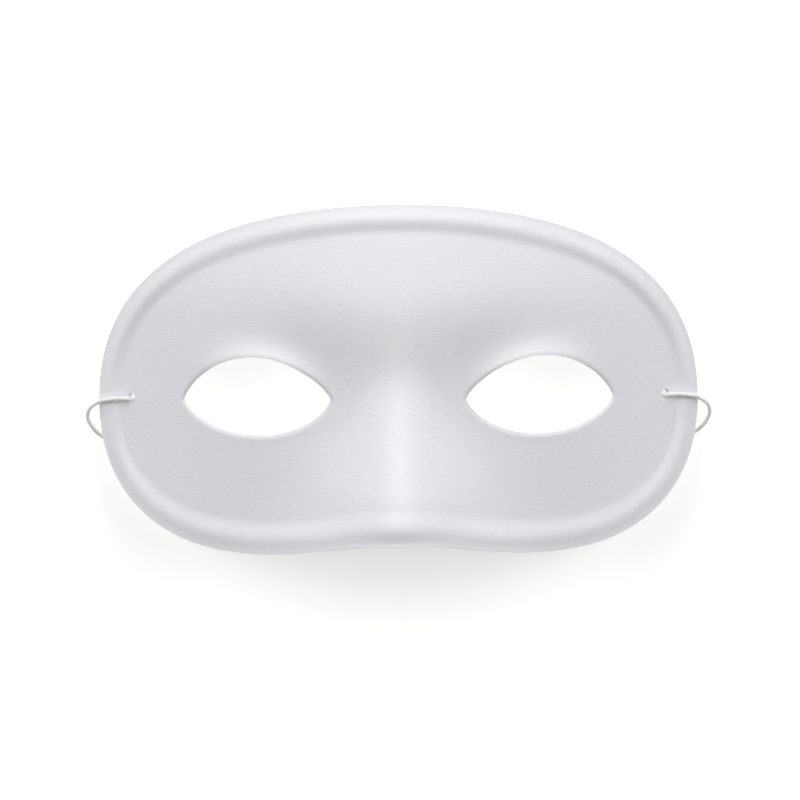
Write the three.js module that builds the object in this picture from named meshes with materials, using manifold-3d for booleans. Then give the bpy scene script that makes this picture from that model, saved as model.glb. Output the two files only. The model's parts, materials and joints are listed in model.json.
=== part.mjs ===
// A costume eye mask: a moulded half mask covered in thin cloth, lying face up, and the
// round elastic that is tied through a hole at each side of it. Millimetres, +Z up.
import * as THREE from 'three';
import { mergeVertices } from 'three/addons/utils/BufferGeometryUtils.js';
import Module from 'manifold-3d';

const wasm = await Module();
wasm.setup();

// The mask is drawn in its face frame: x to the wearer's left, y to the forehead,
// z out of the face. All shapes are the same on both sides of x = 0.

// Outline, right half: over the brow, round the side and the cheek, into the nose notch.
const BROW = { y: 52.8, reach: 41.9 };
const SIDE = { x: 82.2, y: -9.6, up: 39.7, down: 29.8 };
const CHEEK = { x: 48.5, y: -42.4, out: 9.8, in: 26.3 };
const NOTCH = { y: -30.4, reach: 14.3 };

// Eye hole: an almond with its two corners at slightly different heights.
const EYE_INNER = { x: 17.8, y: 1.8, handle: 1.8 };
const EYE_TOP = { x: 35.9, y: 12.1, in: 10, out: 13.3 };
const EYE_OUTER = { x: 57.3, y: -3.3, handle: 1.8 };
const EYE_BOTTOM = { x: 42, y: -9.9, in: 17.2, out: 9.8 };

// Wrap round the head: deeper at the temples than at the cheeks.
const WRAP = { depth: 152, width: 100, twist: 0.004, level: -10 };

// Relief of the face.
const FOREHEAD = { start: 9.3, soft: 4, fall: 0.005 };
const NOSE = { root: 7.6, rise: 0.674, soft: 6.6, rootWidth: 5.6, tipWidth: 20.8, tip: -38 };
const NOSE_TIP = { start: -22.7, soft: 5, fall: 0.7 };
const BROW_BULGE = { height: 0.94, x: 0, y: 26.6, wide: 68, tall: 11.5 };
const SOCKET = { height: -2.27, x: 24.3, y: 6, wide: 13.9, tall: 15.7 };
const EYELID = { height: 11.8, x: 35.7, y: 4.1, wide: 10, tall: 7 };

// Rolled rim, the curl of the eye edges and the wall. The rim is measured along the slope
// of the face. It is narrower within reach of the middle of the brow.
const RIM = { start: 0.6, crest: 4.1, end: 9.3, edge: 0.7, height: 1.1, narrow: 0.16, reach: 39 };
// The rim's edge turns forward a little at the nose notch.
const FLARE = { height: 0.25, width: 1.2, reach: 12 };
const LIP = { width: 1.3, curl: 0.6 };
const WALL = 1.3;

// Holes for the elastic.
const HOLE = { x: 72.6, y: -6.5, radius: 1.5, sides: 16 };

// How the mask lies: the forehead sinks by the tilt, and each side rim has a small flat.
const REST = { tilt: 6, shift: -3.5, lift: 45.3 };

// The round elastic. TIE_ROUTE runs on the right, as the mask lies: from the knot up through
// the hole, over the rim, round its edge and back under it to the knot. FLOOR_ROUTE crosses
// beneath the mask from the left knot to the right one.
const ELASTIC = { diameter: 1.1, sides: 8, tieSteps: 18, runSteps: 44 };
const KNOT = { radius: 1.9 };
const TOUCH_GAP = 0.3;
const TIE_ROUTE = [
  [73.6, -27.6, 1.95], [70.4, -22.7, 3.6], [70.1, -16.4, 6.7], [72.6, -14.1, 9.7],
  [75.3, -13.8, 9.8], [79.2, -15.2, 7], [82.3, -17, 4.3], [85, -19.6, 3.1],
  [85.5, -23, 2.1], [82.9, -27.6, 1.1], [78.8, -29.6, 0.9], [73.6, -27.6, 1.95],
];
const FLOOR_ROUTE = [
  [-68.5, -22.7, 0.9], [-65.3, -12, 0.65], [-62, 5, 0.65], [-51.5, 20.5, 0.65],
  [-38, 25, 0.65], [-27, 18, 0.65], [-16, 8, 0.65], [-3, 8, 0.65], [8, 18, 0.65],
  [21, 26, 0.65], [34, 22, 0.65], [45, 13, 0.65], [58, 7, 0.65], [65.5, -4, 0.65],
  [65.8, -15, 0.65], [68.5, -22.7, 0.9],
];

// Mesh steps: along half the outline, up the middle, across the rim, field and eye lip.
const HALF_STEPS = 40;
const MIDDLE_STEPS = 16;
const LOOP_STEPS = HALF_STEPS + MIDDLE_STEPS;
const FIELD_STEPS = 8;
const RIM_ROWS = [0, 0.6, 2.3, 4.1, 6.7, 9.3];
const LIP_ROWS = [1.3, 0.65, 0];
// Columns of the field that meet the inner corner, top, outer corner and bottom of the eye.
const EYE_COLUMNS = [-10, 7, 20, 31, 46];

const v2 = (x, y) => new THREE.Vector2(x, y);
const bezier = (a, b, c, d) => new THREE.CubicBezierCurve(v2(...a), v2(...b), v2(...c), v2(...d));

function outlineHalf() {
  const path = new THREE.CurvePath();
  path.add(bezier([0, BROW.y], [BROW.reach, BROW.y],
    [SIDE.x, SIDE.y + SIDE.up], [SIDE.x, SIDE.y]));
  path.add(bezier([SIDE.x, SIDE.y], [SIDE.x, SIDE.y - SIDE.down],
    [CHEEK.x + CHEEK.out, CHEEK.y], [CHEEK.x, CHEEK.y]));
  path.add(bezier([CHEEK.x, CHEEK.y], [CHEEK.x - CHEEK.in, CHEEK.y],
    [NOTCH.reach, NOTCH.y], [0, NOTCH.y]));
  return path;
}

// The four quarters of the eye hole, clockwise from its inner corner.
function eyeQuarters() {
  const inner = [EYE_INNER.x, EYE_INNER.y];
  const top = [EYE_TOP.x, EYE_TOP.y];
  const outer = [EYE_OUTER.x, EYE_OUTER.y];
  const bottom = [EYE_BOTTOM.x, EYE_BOTTOM.y];
  return [
    bezier(inner, [inner[0], inner[1] + EYE_INNER.handle], [top[0] - EYE_TOP.in, top[1]], top),
    bezier(top, [top[0] + EYE_TOP.out, top[1]], [outer[0], outer[1] + EYE_OUTER.handle], outer),
    bezier(outer, [outer[0], outer[1] - EYE_OUTER.handle],
      [bottom[0] + EYE_BOTTOM.out, bottom[1]], bottom),
    bezier(bottom, [bottom[0] - EYE_BOTTOM.in, bottom[1]],
      [inner[0], inner[1] - EYE_INNER.handle], inner),
  ];
}

// A ramp that is 0 well below s = 0, s well above it, and rounded between.
const softRamp = (s, soft) => 0.5 * (s + Math.sqrt(s * s + soft * soft));

// A rounded bump on each side of the face.
function bump(shape, x, y) {
  const across = (Math.abs(x) - shape.x) / shape.wide;
  const along = (y - shape.y) / shape.tall;
  return shape.height * Math.exp(-across * across - along * along);
}

function noseHeight(x, y) {
  const rise = NOSE.rise * softRamp(NOSE.root - y, NOSE.soft);
  const fall = NOSE_TIP.fall * softRamp(NOSE_TIP.start - y, NOSE_TIP.soft);
  const along = THREE.MathUtils.clamp((NOSE.root - y) / (NOSE.root - NOSE.tip), -0.5, 1.2);
  const width = Math.max(NOSE.rootWidth + (NOSE.tipWidth - NOSE.rootWidth) * along, 4);
  return (rise - fall) * Math.exp(-((x / width) ** 2));
}

// Height of the face without its rim and eye lips.
function faceHeight(x, y) {
  const bend = Math.sqrt(1 + (x / WRAP.width) ** 2) - 1;
  const wrap = WRAP.depth * bend * (1 + WRAP.twist * (y - WRAP.level));
  const forehead = FOREHEAD.fall * softRamp(y - FOREHEAD.start, FOREHEAD.soft) ** 2;
  const relief = bump(BROW_BULGE, x, y) + bump(SOCKET, x, y) + bump(EYELID, x, y);
  return relief + noseHeight(x, y) - forehead - wrap;
}

// Height of the rolled rim at a distance in from the outline: a flange, a crest and a foot.
function rimHeight(inward) {
  const rise = THREE.MathUtils.clamp((inward - RIM.start) / (RIM.crest - RIM.start), 0, 1);
  if (rise < 1) return RIM.edge + (RIM.height - RIM.edge) * Math.sin(0.5 * Math.PI * rise) ** 2;
  return RIM.height * Math.cos(0.5 * Math.PI * (inward - RIM.crest) / (RIM.end - RIM.crest)) ** 2;
}

// How far the notch's edge turns forward at a distance in from the outline.
function notchFlare(edge, inward) {
  if (edge.y > 0) return 0;
  const turn = FLARE.height * Math.max(0, 1 - inward / FLARE.width) ** 2;
  return turn * Math.exp(-((edge.x / FLARE.reach) ** 2));
}

// How far the edge of an eye hole curls back at a distance out from it.
const lipDrop = (outward) => LIP.curl * Math.max(0, 1 - outward / LIP.width) ** 2;

// A point of a curve moved sideways, to the right of the way the curve runs.
function besideCurve(curve, t, distance) {
  const point = curve.getPoint(t);
  const run = curve.getTangent(t);
  return v2(point.x + run.y * distance, point.y - run.x * distance);
}

function rimRow(inward) {
  const half = outlineHalf();
  const row = [];
  for (let i = 0; i <= HALF_STEPS; i += 1) {
    const t = i / HALF_STEPS;
    const [edge, inside] = [0, 1].map((distance) => besideCurve(half, t, distance));
    const rise = faceHeight(inside.x, inside.y) - faceHeight(edge.x, edge.y);
    const steep = Math.hypot(1, rise);
    const slim = edge.y > 0 ? 1 + RIM.narrow * Math.exp(-((edge.x / RIM.reach) ** 2)) : 1;
    const p = besideCurve(half, t, inward / steep / slim);
    if (i === 0 || i === HALF_STEPS) p.x = 0;
    const roll = rimHeight(inward) + notchFlare(edge, inward);
    row.push(new THREE.Vector3(p.x, p.y, faceHeight(p.x, p.y) + roll * steep));
  }
  return row;
}

function eyeRow(outward) {
  const quarters = eyeQuarters();
  const row = [];
  for (let column = 0; column <= LOOP_STEPS; column += 1) {
    const c = column < EYE_COLUMNS[4] ? column : column - LOOP_STEPS;
    const q = EYE_COLUMNS.findLastIndex((first) => first <= c);
    const t = (c - EYE_COLUMNS[q]) / (EYE_COLUMNS[q + 1] - EYE_COLUMNS[q]);
    const p = besideCurve(quarters[q], t, -outward);
    row.push(new THREE.Vector3(p.x, p.y, faceHeight(p.x, p.y) - lipDrop(outward)));
  }
  return row;
}

// The field's outer loop: the inner line of the rim, and then up the middle of the face.
function fieldLoop() {
  const loop = rimRow(RIM.end);
  const low = loop[HALF_STEPS].y;
  const high = loop[0].y;
  for (let i = 1; i <= MIDDLE_STEPS; i += 1) {
    const y = THREE.MathUtils.lerp(low, high, i / MIDDLE_STEPS);
    loop.push(new THREE.Vector3(0, y, faceHeight(0, y)));
  }
  return loop;
}

function fieldRows() {
  const outer = fieldLoop();
  const inner = eyeRow(LIP.width);
  const rows = [];
  for (let r = 0; r <= FIELD_STEPS; r += 1) {
    rows.push(outer.map((start, c) => {
      const p = start.clone().lerp(inner[c], r / FIELD_STEPS);
      if (r > 0 && r < FIELD_STEPS) p.z = faceHeight(p.x, p.y);
      return p;
    }));
  }
  return rows;
}

// Triangles between rows of points, on both sides of the face, facing out of it.
function patch(rows) {
  const corners = [];
  for (let r = 0; r + 1 < rows.length; r += 1) {
    for (let c = 0; c + 1 < rows[r].length; c += 1) {
      const [a, b] = [rows[r][c], rows[r + 1][c]];
      const [d, e] = [rows[r][c + 1], rows[r + 1][c + 1]];
      corners.push(a, b, e, a, e, d);
      for (const p of [a, e, b, a, d, e]) corners.push(new THREE.Vector3(-p.x, p.y, p.z));
    }
  }
  return corners;
}

function frontSheet() {
  const corners = [
    ...patch(RIM_ROWS.map(rimRow)),
    ...patch(fieldRows()),
    ...patch(LIP_ROWS.map(eyeRow)),
  ];
  const sheet = mergeVertices(new THREE.BufferGeometry().setFromPoints(corners), 1e-3);
  sheet.computeVertexNormals();
  return sheet;
}

// A closed wall behind an open sheet: the sheet, its copy set back, and their edges.
function thicken(sheet, wall) {
  const place = sheet.attributes.position;
  const normal = sheet.attributes.normal;
  const index = [...sheet.index.array];
  const points = [...place.array];
  for (let i = 0; i < place.count; i += 1) {
    const p = new THREE.Vector3().fromBufferAttribute(place, i);
    p.addScaledVector(new THREE.Vector3().fromBufferAttribute(normal, i), -wall);
    points.push(p.x, p.y, p.z);
  }
  const edges = new Set();
  const faces = [];
  for (let f = 0; f < index.length; f += 3) {
    const [a, b, c] = index.slice(f, f + 3);
    faces.push(a, b, c, a + place.count, c + place.count, b + place.count);
    for (const edge of [`${a},${b}`, `${b},${c}`, `${c},${a}`]) edges.add(edge);
  }
  for (const edge of edges) {
    const [a, b] = edge.split(',').map(Number);
    if (edges.has(`${b},${a}`)) continue;
    faces.push(b, a, a + place.count, b, a + place.count, b + place.count);
  }
  const solid = new THREE.BufferGeometry();
  solid.setAttribute('position', new THREE.Float32BufferAttribute(points, 3));
  solid.setIndex(faces);
  return solid;
}

function toSolid(geometry) {
  const bare = geometry.clone();
  bare.deleteAttribute('normal');
  bare.deleteAttribute('uv');
  const merged = mergeVertices(bare, 1e-4);
  return new wasm.Manifold(new wasm.Mesh({
    numProp: 3,
    vertProperties: new Float32Array(merged.attributes.position.array),
    triVerts: new Uint32Array(merged.index.array),
  }));
}

function toGeometry(solid) {
  const mesh = solid.getMesh();
  const geometry = new THREE.BufferGeometry();
  geometry.setAttribute('position', new THREE.Float32BufferAttribute(mesh.vertProperties, 3));
  geometry.setIndex([...mesh.triVerts]);
  geometry.computeVertexNormals();
  return geometry;
}

// A round cutter through the wall, square to the face.
function holeCutter(side) {
  const step = 0.5;
  const slopeX = (faceHeight(HOLE.x + step, HOLE.y) - faceHeight(HOLE.x - step, HOLE.y)) / 2 / step;
  const slopeY = (faceHeight(HOLE.x, HOLE.y + step) - faceHeight(HOLE.x, HOLE.y - step)) / 2 / step;
  const outward = new THREE.Vector3(-slopeX * side, -slopeY, 1).normalize();
  const turn = new THREE.Quaternion().setFromUnitVectors(new THREE.Vector3(0, 1, 0), outward);
  const cutter = new THREE.CylinderGeometry(HOLE.radius, HOLE.radius, 8, HOLE.sides);
  cutter.applyQuaternion(turn);
  cutter.translate(side * HOLE.x, HOLE.y, faceHeight(HOLE.x, HOLE.y));
  return cutter;
}

// The mask turned from its face frame to how it lies.
function layDown() {
  const laid = new THREE.Group();
  laid.rotation.x = THREE.MathUtils.degToRad(-REST.tilt);
  laid.position.set(0, REST.shift, REST.lift);
  laid.updateMatrix();
  return laid;
}

function maskShell(laid) {
  const floor = new THREE.BoxGeometry(400, 400, 40).translate(0, 0, -20);
  floor.applyMatrix4(laid.matrix.clone().invert());
  let solid = toSolid(thicken(frontSheet(), WALL));
  for (const cutter of [holeCutter(-1), holeCutter(1), floor]) {
    solid = solid.subtract(toSolid(cutter));
  }
  return toGeometry(solid);
}

// The elastic's whole route: out of the left knot, through the left hole, over the rim and
// back under it to the knot, across beneath the mask, and the same on the right.
function elasticRoute() {
  const left = TIE_ROUTE.map(([x, y, z]) => [-x, y, z]);
  const right = [...TIE_ROUTE].reverse();
  const points = [...left, ...FLOOR_ROUTE, ...right];
  return new THREE.CatmullRomCurve3(points.map((p) => new THREE.Vector3(...p)));
}

// The part of a curve between two of its parameters.
class Stretch extends THREE.Curve {
  constructor(whole, from, to) {
    super();
    Object.assign(this, { whole, from, to });
  }

  getPoint(t, target) {
    return this.whole.getPoint(THREE.MathUtils.lerp(this.from, this.to, t), target);
  }
}

// Where the route, searched from one parameter towards another, is clear of a knot.
function clearOfKnot(route, knot, from, to) {
  const steps = 2000;
  for (let i = 0; i <= steps; i += 1) {
    const t = THREE.MathUtils.lerp(from, to, i / steps);
    if (route.getPoint(t).distanceTo(knot) > KNOT.radius + TOUCH_GAP) return t;
  }
  throw new Error('the route never leaves the knot');
}

function elasticTube(route, from, to, steps) {
  const section = new THREE.Shape();
  for (let i = 0; i < ELASTIC.sides; i += 1) {
    const angle = (2 * Math.PI * i) / ELASTIC.sides;
    const radius = ELASTIC.diameter / 2;
    const place = [radius * Math.cos(angle), radius * Math.sin(angle)];
    if (i === 0) section.moveTo(...place);
    else section.lineTo(...place);
  }
  const extrudePath = new Stretch(route, from, to);
  return new THREE.ExtrudeGeometry(section, { steps, extrudePath });
}

function named(name, geometry, material) {
  const mesh = new THREE.Mesh(geometry, material);
  mesh.name = name;
  return mesh;
}

function elastic(material) {
  const group = new THREE.Group();
  const route = elasticRoute();
  const spans = route.points.length - 1;
  const tie = TIE_ROUTE.length - 1;
  const stops = [0, tie / spans, 1 - tie / spans, 1];
  const names = ['elastic_tie_left', 'elastic_run', 'elastic_tie_right'];
  names.forEach((name, i) => {
    const middle = (stops[i] + stops[i + 1]) / 2;
    const from = clearOfKnot(route, route.getPoint(stops[i]), stops[i], middle);
    const to = clearOfKnot(route, route.getPoint(stops[i + 1]), stops[i + 1], middle);
    const steps = i === 1 ? ELASTIC.runSteps : ELASTIC.tieSteps;
    group.add(named(name, elasticTube(route, from, to, steps), material));
  });
  for (const [side, name] of [[-1, 'elastic_knot_left'], [1, 'elastic_knot_right']]) {
    const knot = named(name, new THREE.SphereGeometry(KNOT.radius, 14, 10), material);
    const [x, y, z] = TIE_ROUTE[0];
    knot.position.set(side * x, y, z);
    group.add(knot);
  }
  return group;
}

const cloth = new THREE.MeshStandardMaterial({ color: 0xe6e6ea, roughness: 0.85, metalness: 0 });
const cord = new THREE.MeshStandardMaterial({ color: 0xf4f4f4, roughness: 0.7, metalness: 0 });

const laid = layDown();
laid.add(named('mask_shell', maskShell(laid), cloth));

const mask = new THREE.Group();
mask.add(laid, elastic(cord));
export default mask;
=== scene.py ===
# A costume eye mask: a moulded half mask covered in thin white cloth. It lies face up, with
# the round elastic that is tied through a hole at each side. Metres, +Z up.
import json
import math

import bpy
from bpy.props import FloatProperty, FloatVectorProperty, PointerProperty
from bpy.types import Operator, Panel, PropertyGroup
from mathutils import Matrix, Vector, noise

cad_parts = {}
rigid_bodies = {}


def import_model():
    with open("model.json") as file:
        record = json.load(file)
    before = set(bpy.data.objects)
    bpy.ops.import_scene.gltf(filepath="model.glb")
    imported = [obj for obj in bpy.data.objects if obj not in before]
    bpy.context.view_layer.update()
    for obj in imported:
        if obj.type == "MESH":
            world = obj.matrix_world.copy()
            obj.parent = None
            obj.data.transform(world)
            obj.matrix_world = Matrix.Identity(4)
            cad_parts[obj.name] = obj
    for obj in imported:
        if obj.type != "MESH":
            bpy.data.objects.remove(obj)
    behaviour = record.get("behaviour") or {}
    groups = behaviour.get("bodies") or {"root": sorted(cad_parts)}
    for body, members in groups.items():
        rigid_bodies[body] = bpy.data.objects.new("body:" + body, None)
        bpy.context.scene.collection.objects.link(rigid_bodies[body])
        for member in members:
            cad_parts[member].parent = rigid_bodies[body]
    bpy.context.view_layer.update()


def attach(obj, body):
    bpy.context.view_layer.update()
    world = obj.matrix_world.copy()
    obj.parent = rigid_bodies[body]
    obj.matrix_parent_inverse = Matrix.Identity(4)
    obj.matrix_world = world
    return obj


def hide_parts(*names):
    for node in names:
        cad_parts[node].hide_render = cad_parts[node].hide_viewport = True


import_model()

bl_info = {
    "name": "Costume Eye Mask",
    "version": (1, 0, 0),
    "blender": (4, 5, 0),
    "location": "3D View > Sidebar > Eye Mask",
    "description": "Models a moulded, cloth-covered eye mask with its tied elastic",
    "category": "Add Mesh",
}

# Mesh steps: along half the outline, up the middle of the face, and across each band.
HALF_STEPS = 160
MIDDLE_STEPS = 64
LOOP_STEPS = HALF_STEPS + MIDDLE_STEPS
FIELD_STEPS = 44
RIM_STEPS = 22
LIP_STEPS = 7
CURVE_SAMPLES = 400

# Columns of the field that meet the inner corner, top, outer corner and bottom of the eye.
EYE_COLUMNS = (-40, 28, 80, 124, 184)

# The step that a slope is measured over, and the gap under which points are merged.
SLOPE_STEP = 0.001
MERGE_GAP = 1e-6

# How wide the nose may grow or shrink beyond its root and tip, as shares of its length, and
# the least half width that it has.
NOSE_SHARES = (-0.5, 1.2)
NOSE_LEAST_WIDTH = 0.004

# How far the threads across the cloth sag for each unit of height of the form, and how far
# from the middle of the face the cloth is measured.
THREAD_SAG = 0.287
CLOTH_REACH = 0.09

# Ripples in the glued cloth: how many to a metre, their share of the height, and their place
# in the noise.
RIPPLES = ((45, 1, (0, 0, 0)), (130, 0.5, (7, 3, 1)))

# The round cutters for the string holes.
CUTTER_SIDES = 32
CUTTER_LENGTH = 0.008

# The shell's materials, in the order of their slots.
LINING_SLOT = 1
EDGE_SLOT = 2

# Edges sharper than SHARP_EDGE are rounded on the shell and stay sharp on the elastic.
SHARP_EDGE = math.radians(50)
SHELL_SMOOTH = math.radians(35)
ROUND_SEGMENTS = 3

# Steps from one point of a tube to the next, and the resolution of its round section.
CORD_STEPS = 12
KNOT_STEPS = 5
TUBE_RESOLUTION = 4

# The elastic's route on the right: out of the knot, up through the hole, over the rim, round
# its edge and back under it to the knot. The left side is its mirror image.
TIE_ROUTE = (
    (0.0736, -0.0276, 0.00195), (0.0704, -0.0227, 0.0036), (0.0701, -0.0164, 0.0067),
    (0.0726, -0.0141, 0.0097), (0.0753, -0.0138, 0.0098), (0.0792, -0.0152, 0.0070),
    (0.0823, -0.0170, 0.0043), (0.0850, -0.0196, 0.0031), (0.0855, -0.0230, 0.0021),
    (0.0829, -0.0276, 0.0011), (0.0788, -0.0296, 0.0009), (0.0736, -0.0276, 0.00195),
)

# Its route across beneath the mask, from the left knot to the right one.
FLOOR_ROUTE = (
    (-0.0685, -0.0227, 0.0009), (-0.0653, -0.0120, 0.00065), (-0.0620, 0.0050, 0.00065),
    (-0.0515, 0.0205, 0.00065), (-0.0380, 0.0250, 0.00065), (-0.0270, 0.0180, 0.00065),
    (-0.0160, 0.0080, 0.00065), (-0.0030, 0.0080, 0.00065), (0.0080, 0.0180, 0.00065),
    (0.0210, 0.0260, 0.00065), (0.0340, 0.0220, 0.00065), (0.0450, 0.0130, 0.00065),
    (0.0580, 0.0070, 0.00065), (0.0655, -0.0040, 0.00065), (0.0658, -0.0150, 0.00065),
    (0.0685, -0.0227, 0.0009),
)

# An overhand knot, in units of a third of its radius: how many steps its loop takes, how much
# of a turn is open at each end, how deep it is, and where its tail and stub run.
KNOT_LOOP_STEPS = 22
KNOT_OPEN_ANGLE = 0.3
KNOT_REACH = 3
KNOT_DEPTH = 1.25
TAIL_START = (0.2, -1.9, 2.0)
TAIL_END = (0.6, -1.9, -1.2)
KNOT_STUB = (-0.6, -2.2, -1.6)

# Depth of the fine relief on each finish.
CLOTH_RELIEF = 0.000022
LINING_RELIEF = 0.00012
EDGE_RELIEF = 0.00008
BRAID_RELIEF = 0.00008

# The woven cloth: spacing and height of the upright threads and spacing of the slubs, against
# the threads across, how much the weave and the slubs add to the relief, and how much of that
# relief is painted into the colour as light on the raised threads and shade between them.
WARP_SPACING = 0.8
WARP_HEIGHT = 0.6
SLUB_SPACING = 0.7
WEAVE_SHARE = 0.3
SLUB_SHARE = 1.4
PAINTED_LIGHT_SHARE = 0.6

# Matted fibres: how much their clumps add to the relief.
CLUMP_SHARE = 0.8

# The camera and the floor.
SENSOR_WIDTH = 36
CLIP_RANGE = (0.01, 20)
FLOOR_SIZE = 6
FLOOR_COLOUR = (0.9, 0.9, 0.9, 1)
FLOOR_GLOW = 0.48

# The soft lights: name, tilt to the forehead and turn round the upright in degrees, power in
# watts and colour.
LIGHT_DISTANCE = 2.0
LIGHT_SIZE = 0.88
WARM_WHITE = (1, 0.995, 0.965)
COOL_WHITE = (0.985, 0.98, 1)
AMBER_WHITE = (1, 0.99, 0.89)
SOFT_LIGHTS = (
    ("front_fill", -50, 0, 4.5, COOL_WHITE),
    ("soft_key", 35, 0, 2.7, WARM_WHITE),
    ("top_light", 80, 0, 7.9, AMBER_WHITE),
    ("upper_left", 45, 45, 13.8, WARM_WHITE),
    ("upper_right", 45, -45, 13.8, WARM_WHITE),
    ("low_left", 75, 50, 10.1, COOL_WHITE),
    ("low_right", 75, -50, 10.1, COOL_WHITE),
)


def length(name, default, description):
    return FloatProperty(
        name=name, description=description, default=default, precision=5, unit="LENGTH")


def place(name, default, description):
    return FloatVectorProperty(
        name=name, description=description, default=default, size=2, precision=5,
        unit="LENGTH", subtype="TRANSLATION")


def amount(name, default, description):
    return FloatProperty(name=name, description=description, default=default, precision=4)


def tint(name, default, description):
    return FloatVectorProperty(
        name=name, description=description, default=default, size=3, min=0, max=1,
        subtype="COLOR")


class OutlineSizes(PropertyGroup):
    """The outline's right half, as three curves: brow to side, side to cheek, cheek to notch"""

    brow: place("Brow", (0, 0.0528), "Top of the outline")
    brow_reach: length("Brow Reach", 0.0419, "How far the brow's curve runs level")
    side: place("Side", (0.0822, -0.0096), "Widest point of the outline")
    side_up: length("Side Up", 0.0397, "How far the side runs upright above its widest point")
    side_down: length("Side Down", 0.0298, "How far the side runs upright below it")
    cheek: place("Cheek", (0.0485, -0.0424), "Lowest point of the outline")
    cheek_out: length("Cheek Out", 0.0098, "How far the cheek runs level towards the side")
    cheek_in: length("Cheek In", 0.0263, "How far the cheek runs level towards the nose")
    notch: place("Notch", (0, -0.0304), "Top of the notch under the nose")
    notch_reach: length("Notch Reach", 0.0143, "How far the notch runs level")


class EyeHoleSizes(PropertyGroup):
    """The right eye hole, as four curves between its corners, top and bottom"""

    inner: place("Inner Corner", (0.0178, 0.0018), "Corner beside the nose")
    top: place("Top", (0.0359, 0.0121), "Highest point of the hole")
    top_in: length("Top In", 0.01, "How far the top runs level towards the nose")
    top_out: length("Top Out", 0.0133, "How far the top runs level towards the temple")
    outer: place("Outer Corner", (0.0573, -0.0033), "Corner beside the temple")
    bottom: place("Bottom", (0.042, -0.0099), "Lowest point of the hole")
    bottom_in: length("Bottom In", 0.0172, "How far the bottom runs level towards the nose")
    bottom_out: length("Bottom Out", 0.0098, "How far the bottom runs level to the temple")
    corner_handle: length("Corner Round", 0.0018, "How far the curves run upright at a corner")


class BumpSizes(PropertyGroup):
    """A rounded bump or hollow, the same on both sides of the face"""

    height: length("Height", 0.001, "Height of the bump, or depth of the hollow below zero")
    centre: place("Centre", (0, 0), "Middle of the bump")
    spread: place("Spread", (0.01, 0.01), "How far the bump spreads across and along")


class ReliefSizes(PropertyGroup):
    """The forms that the face is moulded to"""

    wrap_depth: length("Wrap Depth", 0.152, "Depth of the wrap round the head")
    wrap_width: length("Wrap Width", 0.1, "Width over which the wrap turns")
    wrap_twist: amount("Wrap Twist", 4.0, "How much deeper the temples wrap, per metre")
    wrap_level: length("Wrap Level", -0.01, "Level at which the wrap has its own depth")
    forehead_start: length("Forehead Start", 0.0093, "Level where the forehead turns back")
    forehead_soft: length("Forehead Softness", 0.004, "Length over which it starts to turn")
    forehead_fall: amount("Forehead Fall", 5.0, "How fast the forehead turns, per metre")
    nose_root: length("Nose Root", 0.0076, "Level where the nose starts")
    nose_rise: amount("Nose Rise", 0.674, "Slope of the nose's ridge")
    nose_soft: length("Nose Softness", 0.0066, "Length over which the ridge starts")
    nose_root_width: length("Nose Root Width", 0.0056, "Half width of the nose at its root")
    nose_tip_width: length("Nose Tip Width", 0.0208, "Half width of the nose at its tip")
    nose_tip: length("Nose Tip", -0.038, "Level of the nose's tip")
    tip_start: length("Tip Start", -0.0227, "Level where the ridge flattens")
    tip_soft: length("Tip Softness", 0.005, "Length over which it flattens")
    tip_fall: amount("Tip Fall", 0.7, "How much slope the ridge loses there")
    brow: PointerProperty(type=BumpSizes, name="Brow Bulge")
    socket: PointerProperty(type=BumpSizes, name="Eye Socket")
    eyelid: PointerProperty(type=BumpSizes, name="Eyelid")


class EdgeSizes(PropertyGroup):
    """The wall of the shell, its rolled rim, the eye edges and the string holes"""

    wall: length("Wall", 0.0013, "Thickness of the moulded wall with its cloth")
    rim_start: length("Rim Start", 0.0006, "Where the flange turns up into the rolled rim")
    rim_crest: length("Rim Crest", 0.0041, "Where the rolled rim is highest")
    rim_end: length("Rim End", 0.0093, "Where the rolled rim meets the face")
    rim_edge: length("Rim Edge", 0.0007, "Height of the flange above the face")
    rim_height: length("Rim Height", 0.0011, "Height of the rolled rim above the face")
    rim_narrow: amount("Rim Narrow", 0.16, "How much narrower the rim is over the brow")
    rim_reach: length("Rim Reach", 0.039, "How far from the middle the rim is narrower")
    flare_height: length("Flare Height", 0.00025, "How far the notch's edge turns forward")
    flare_width: length("Flare Width", 0.0012, "Width of the turned edge")
    flare_reach: length("Flare Reach", 0.012, "How far to each side of the nose it turns")
    lip_width: length("Lip Width", 0.0013, "Width over which an eye edge curls back")
    lip_curl: length("Lip Curl", 0.0006, "How far an eye edge curls back")
    hole: place("String Hole", (0.0726, -0.0065), "Middle of the hole for the elastic")
    hole_radius: length("String Hole Radius", 0.0015, "Radius of the hole for the elastic")
    round: length("Edge Round", 0.00045, "Rounding of the cut edges")
    ripple: length("Ripple", 0.00005, "Height of the faint ripples in the glued cloth")


class RestSizes(PropertyGroup):
    """How the mask lies on its two side rims"""

    tilt: FloatProperty(
        name="Tilt", description="How far the forehead sinks", default=math.radians(6),
        unit="ROTATION", subtype="ANGLE")
    shift: length("Shift", -0.0035, "How far the mask lies from the centre")
    lift: length("Lift", 0.0453, "Height of the face's centre above the floor")


class ElasticSizes(PropertyGroup):
    """The round elastic and its knots"""

    diameter: length("Diameter", 0.0011, "Thickness of the elastic")
    stitch: length("Stitch", 0.0009, "Length of one stitch of its braid")
    knot_radius: length("Knot Radius", 0.0019, "Radius of a tied knot")
    tail: length("Tail", 0.006, "Length of the cut end beyond a knot")


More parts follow.
